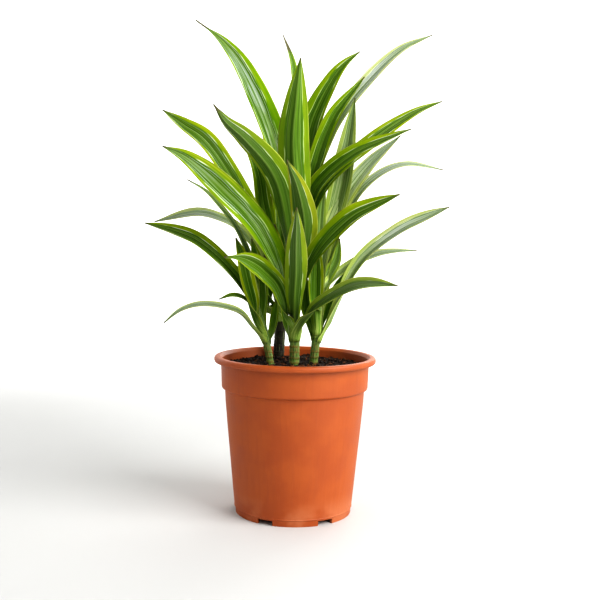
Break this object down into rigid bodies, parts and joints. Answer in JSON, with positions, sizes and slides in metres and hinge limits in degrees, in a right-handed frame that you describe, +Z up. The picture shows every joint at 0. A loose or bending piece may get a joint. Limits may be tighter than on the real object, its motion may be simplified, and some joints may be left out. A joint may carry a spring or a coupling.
{
  "type": "potted dracaena",
  "caption": "Leafy upright house plant: several canes with long pointed arching leaves, standing in a round tapered pot of soil.",
  "frame": {"origin": "centre of the pot's foot, on the surface that the pot stands on; the foliage reaches equally far to both sides of it", "axes": "+Z up along the pot's axis, the front of the plant looks along -Y, +X to the right seen from the front"},
  "size_m": [0.2618, 0.2079, 0.4381],
  "materials": {
    "pot": "satin moulded terracotta-coloured plastic",
    "soil": "matte loose damp dark peat",
    "green_cane": "smooth green bark with leaf scars",
    "dark_cane": "rough dark bark with leaf scars",
    "leaves": "smooth satin leaves, dark green with lime margins"
  },
  "bodies": {
    "root": {"pot": "pot", "potting_soil": "soil", "centre_cane": "green_cane", "right_cane": "green_cane", "left_cane": "green_cane", "back_cane": "dark_cane", "centre_crown": "leaves", "right_crown": "leaves", "left_crown": "leaves", "back_crown": "leaves"}
  },
  "joints": []
}
